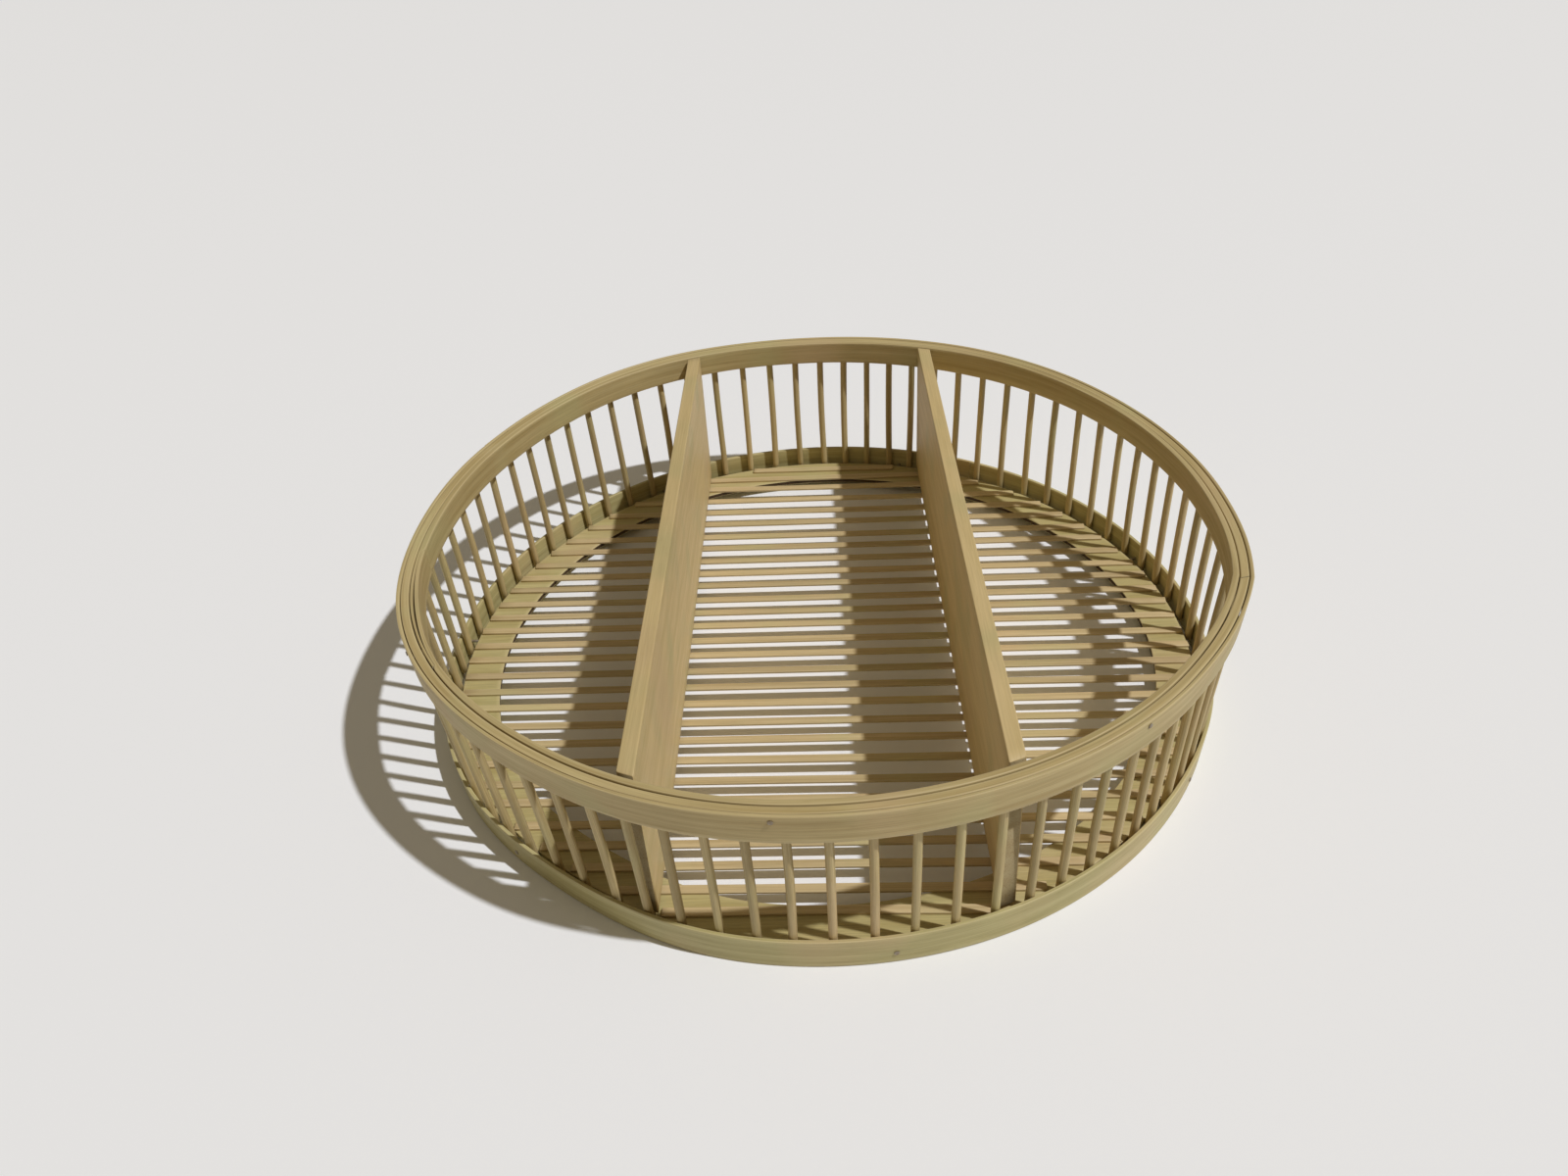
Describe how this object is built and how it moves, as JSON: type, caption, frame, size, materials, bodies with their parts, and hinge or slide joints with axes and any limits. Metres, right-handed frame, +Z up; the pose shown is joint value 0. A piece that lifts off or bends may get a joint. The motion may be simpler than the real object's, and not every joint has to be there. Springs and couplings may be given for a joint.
{
  "type": "divided bamboo basket",
  "caption": "Shallow round bamboo basket with an open wall of upright posts between bent hoops, a slatted floor on a flat ring, and two boards that make three compartments.",
  "frame": {"origin": "on the basket's axis, on the surface that it stands on", "axes": "+Z up along the basket's axis; X nearly along the floor slats; Y along the two dividing boards, with the closely laid slats at +Y"},
  "size_m": [0.33, 0.33, 0.076],
  "materials": {
    "hoop_bamboo": "bare split bamboo, satin",
    "post_bamboo": "bare round bamboo sticks, satin",
    "slat_bamboo": "bare split bamboo, satin",
    "board_bamboo": "planed bamboo board, satin",
    "wire_steel": "dull wire"
  },
  "bodies": {
    "root": {"rim_outer_hoop": "hoop_bamboo", "rim_cap_hoop": "hoop_bamboo", "rim_inner_hoop": "hoop_bamboo", "posts_right": "post_bamboo", "posts_back": "post_bamboo", "posts_left": "post_bamboo", "posts_front": "post_bamboo", "base_hoop": "hoop_bamboo", "floor_ring": "hoop_bamboo", "slat_01": "slat_bamboo", "slat_02": "slat_bamboo", "slat_03": "slat_bamboo", "slat_04": "slat_bamboo", "slat_05": "slat_bamboo", "slat_06": "slat_bamboo", "slat_07": "slat_bamboo", "slat_08": "slat_bamboo", "slat_09": "slat_bamboo", "slat_10": "slat_bamboo", "slat_11": "slat_bamboo", "slat_12": "slat_bamboo", "slat_13": "slat_bamboo", "slat_14": "slat_bamboo", "slat_15": "slat_bamboo", "slat_16": "slat_bamboo", "slat_17": "slat_bamboo", "slat_18": "slat_bamboo", "slat_19": "slat_bamboo", "slat_20": "slat_bamboo", "slat_21": "slat_bamboo", "slat_22": "slat_bamboo", "slat_23": "slat_bamboo", "slat_24": "slat_bamboo", "slat_25": "slat_bamboo", "slat_26": "slat_bamboo", "slat_27": "slat_bamboo", "back_slat_1": "slat_bamboo", "back_slat_2": "slat_bamboo", "divider_left": "board_bamboo", "divider_right": "board_bamboo", "rim_brads": "wire_steel", "divider_brads": "wire_steel", "base_brads": "wire_steel", "slat_pins": "wire_steel"}
  },
  "joints": []
}
